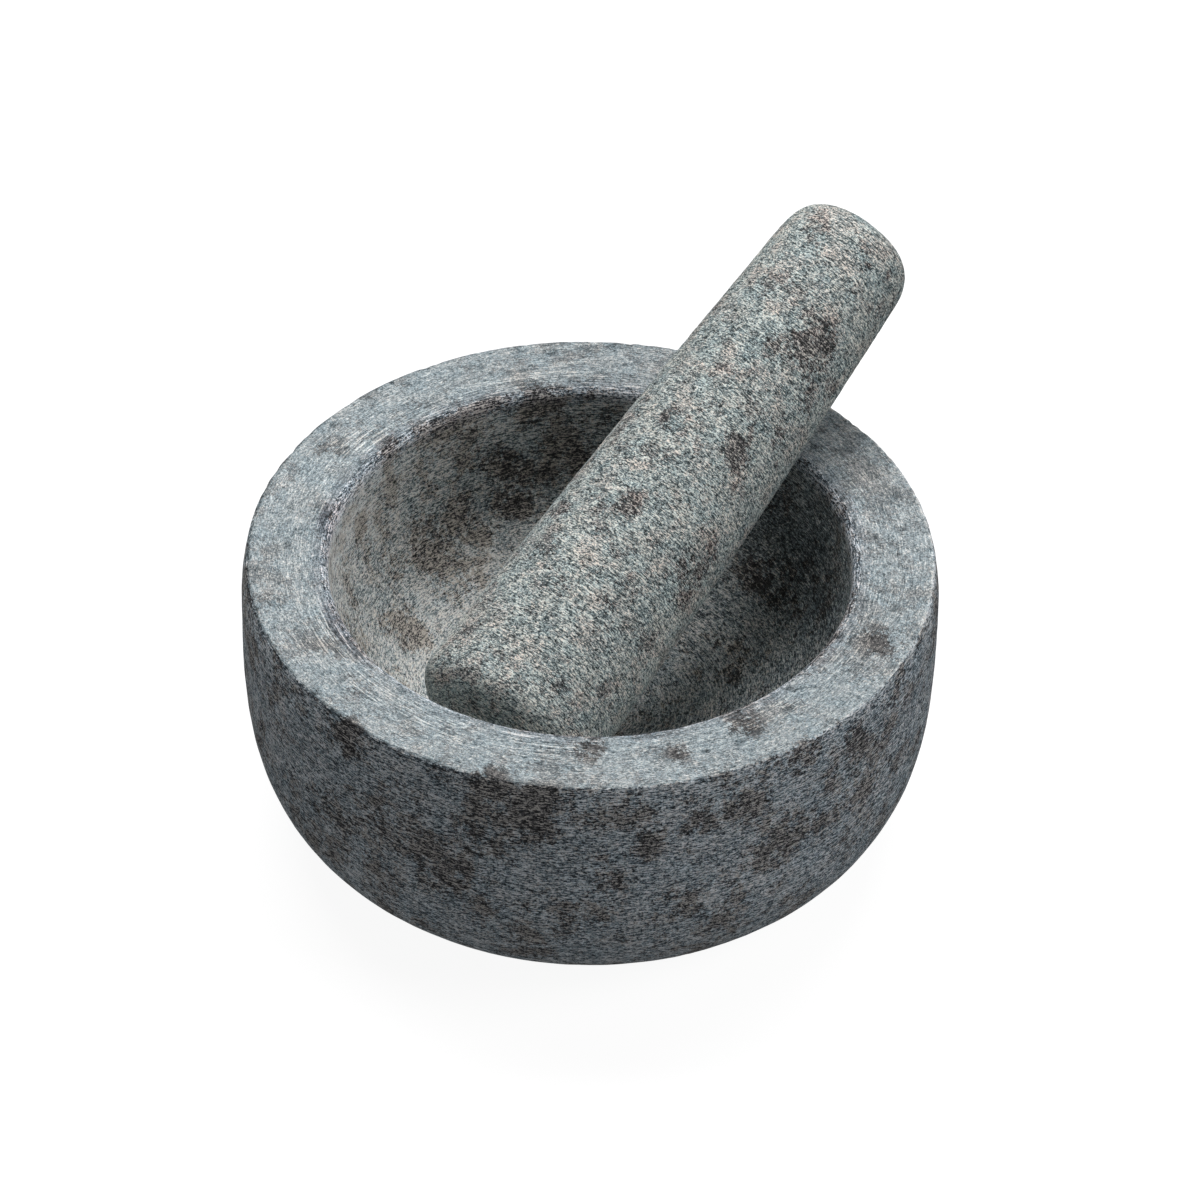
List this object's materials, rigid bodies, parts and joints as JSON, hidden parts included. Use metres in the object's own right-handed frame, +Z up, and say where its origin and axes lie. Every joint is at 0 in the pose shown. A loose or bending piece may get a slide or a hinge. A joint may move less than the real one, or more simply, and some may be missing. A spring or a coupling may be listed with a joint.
{
  "type": "mortar and pestle",
  "caption": "Round granite mortar with a wide flat rim and a rounded bowl, and a loose tapered pestle that leans in the bowl and lifts out.",
  "frame": {"origin": "centre of the mortar's flat underside, on the axis the mortar is turned about", "axes": "+Z up along the mortar's axis; -Y towards the side the object is usually seen from; the pestle's top points between +X and +Y"},
  "size_m": [0.15, 0.1524, 0.1116],
  "materials": {
    "mortar_granite": "dry grey-blue granite, turned, unpolished, finely speckled",
    "pestle_granite": "dry grey-green granite, turned, unpolished, finely speckled"
  },
  "bodies": {
    "mortar": {"mortar": "mortar_granite"},
    "pestle": {"pestle": "pestle_granite"}
  },
  "joints": [
    {"name": "pestle_lift", "type": "slide", "parent": "mortar", "child": "pestle", "axis": [0, 0, 1], "range_m": [0, 0.1]}
  ]
}
